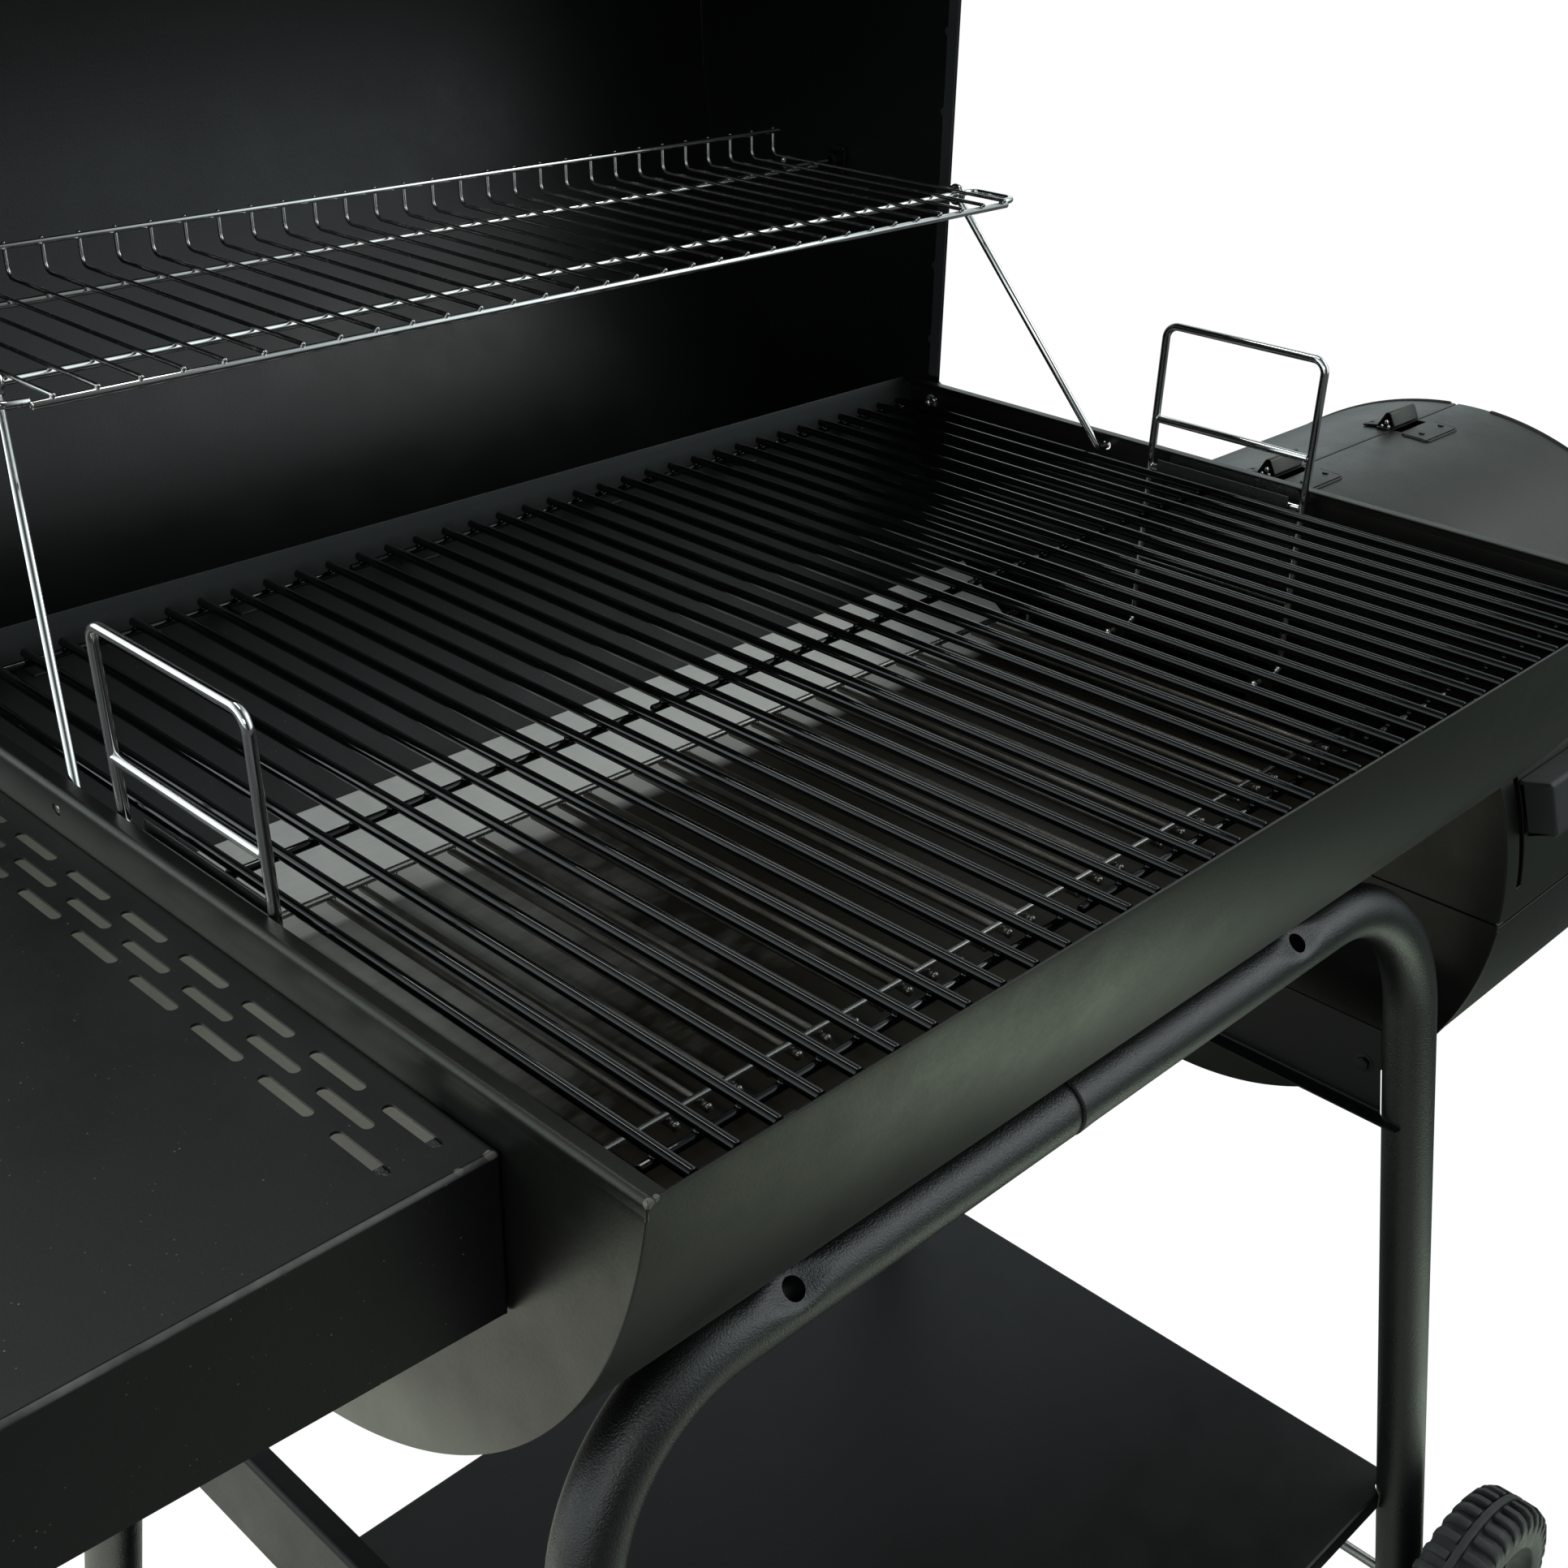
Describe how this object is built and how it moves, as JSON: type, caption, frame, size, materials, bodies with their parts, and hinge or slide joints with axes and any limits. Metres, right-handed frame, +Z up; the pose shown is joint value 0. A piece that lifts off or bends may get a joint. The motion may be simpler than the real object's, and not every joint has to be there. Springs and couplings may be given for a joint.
{
  "type": "offset smoker grill",
  "caption": "Barrel charcoal grill with an offset firebox, hinged lid with swing-up warming rack, height-set charcoal tray, slotted side table, lower shelf and wheels on splayed tube legs.",
  "frame": {"origin": "middle of the bounding box in plan, on the ground", "axes": "+X along the barrel from the side table to the firebox, +Y from the front to the back, +Z up"},
  "size_m": [1.368, 0.9146, 1.2885],
  "materials": {
    "barrel_paint": "satin black powder coat with a fine sparkle",
    "frame_paint": "satin black powder coat",
    "chrome_wire": "bright plated wire",
    "grate_enamel": "glossy black enamel on wire",
    "galvanised": "bright galvanised sheet",
    "coal_wire": "dull heat-tinted wire",
    "black_plastic": "matte black moulded plastic",
    "dial": "bright rim round a pale dial"
  },
  "bodies": {
    "frame": {"body_shell": "barrel_paint", "body_end_left": "barrel_paint", "body_end_right": "barrel_paint", "hanger_bracket_left": "frame_paint", "hanger_bracket_right": "frame_paint", "lid_bolt_left": "chrome_wire", "lid_bolt_right": "chrome_wire", "grate_left": "grate_enamel", "grate_center": "grate_enamel", "grate_right": "grate_enamel", "smoke_collar": "barrel_paint", "firebox_shell": "barrel_paint", "firebox_end_left": "barrel_paint", "firebox_end_right": "barrel_paint", "firebox_hinge_left": "barrel_paint", "firebox_hinge_right": "barrel_paint", "fire_grate": "coal_wire", "leg_front_left": "frame_paint", "leg_front_right": "frame_paint", "leg_back_left": "frame_paint", "leg_back_right": "frame_paint", "foot_front_left": "black_plastic", "foot_back_left": "black_plastic", "brace_left": "frame_paint", "brace_right": "frame_paint", "bottom_shelf": "frame_paint", "axle": "galvanised", "hub_cap_front": "galvanised", "hub_cap_back": "galvanised", "side_table": "frame_paint", "table_bracket_front": "frame_paint", "table_bracket_back": "frame_paint"},
    "lid": {"lid_shell": "barrel_paint", "lid_end_left": "barrel_paint", "lid_end_right": "barrel_paint", "rack_hanger_left": "barrel_paint", "rack_hanger_right": "barrel_paint", "lid_handle": "frame_paint", "thermometer": "dial", "chimney": "barrel_paint"},
    "chimney_cap": {"chimney_cap": "barrel_paint"},
    "rack": {"warming_rack": "chrome_wire"},
    "arm_left": {"rack_arm_left": "chrome_wire"},
    "arm_right": {"rack_arm_right": "chrome_wire"},
    "tray": {"charcoal_tray": "galvanised", "charcoal_grate": "coal_wire", "tray_handle_left": "chrome_wire", "tray_handle_right": "chrome_wire"},
    "firebox_lid": {"firebox_lid": "barrel_paint", "firebox_handle": "black_plastic"},
    "vent": {"vent_disc": "galvanised"},
    "wheel_front": {"wheel_front": "black_plastic"},
    "wheel_back": {"wheel_back": "black_plastic"}
  },
  "joints": [
    {"name": "lid_hinge", "type": "hinge", "parent": "frame", "child": "lid", "pos_m": [0.03775, 0.0774, 0.7931], "axis": [1, 0, 0], "range_deg": [0, 90]},
    {"name": "rack_hinge", "type": "hinge", "parent": "lid", "child": "rack", "pos_m": [0.03775, 0.17035, 0.93225], "axis": [1, 0, 0], "range_deg": [-90, 0]},
    {"name": "arm_left_hinge", "type": "hinge", "parent": "frame", "child": "arm_left", "pos_m": [-0.302, -0.0612, 0.7975], "axis": [1, 0, 0], "range_deg": [0, 90]},
    {"name": "arm_right_hinge", "type": "hinge", "parent": "frame", "child": "arm_right", "pos_m": [0.3775, -0.0612, 0.7975], "axis": [1, 0, 0], "range_deg": [0, 90]},
    {"name": "tray_lift", "type": "slide", "parent": "frame", "child": "tray", "axis": [0, 0, 1], "range_m": [0, 0.049]},
    {"name": "chimney_cap_swivel", "type": "hinge", "parent": "lid", "child": "chimney_cap", "pos_m": [-0.1589, 0.45015, 1.02215], "axis": [0, 1, 0], "range_deg": [0, 100]},
    {"name": "firebox_lid_hinge", "type": "hinge", "parent": "frame", "child": "firebox_lid", "pos_m": [0.5325, -0.13565, 0.78645], "axis": [1, 0, 0], "range_deg": [-110, 0]},
    {"name": "vent_turn", "type": "hinge", "parent": "frame", "child": "vent", "pos_m": [0.67, -0.15165, 0.50485], "axis": [1, 0, 0], "range_deg": [-60, 0]},
    {"name": "wheel_front_spin", "type": "hinge", "parent": "frame", "child": "wheel_front", "pos_m": [0.377, -0.42735, 0.08855], "axis": [0, 1, 0], "continuous": true},
    {"name": "wheel_back_spin", "type": "hinge", "parent": "frame", "child": "wheel_back", "pos_m": [0.377, 0.12405, 0.08855], "axis": [0, 1, 0], "continuous": true}
  ],
  "couplings": [
    {"joint": "rack_hinge", "follows": "lid_hinge", "ratio": -1},
    {"joint": "arm_left_hinge", "follows": "lid_hinge", "ratio": 1},
    {"joint": "arm_right_hinge", "follows": "lid_hinge", "ratio": 1}
  ]
}
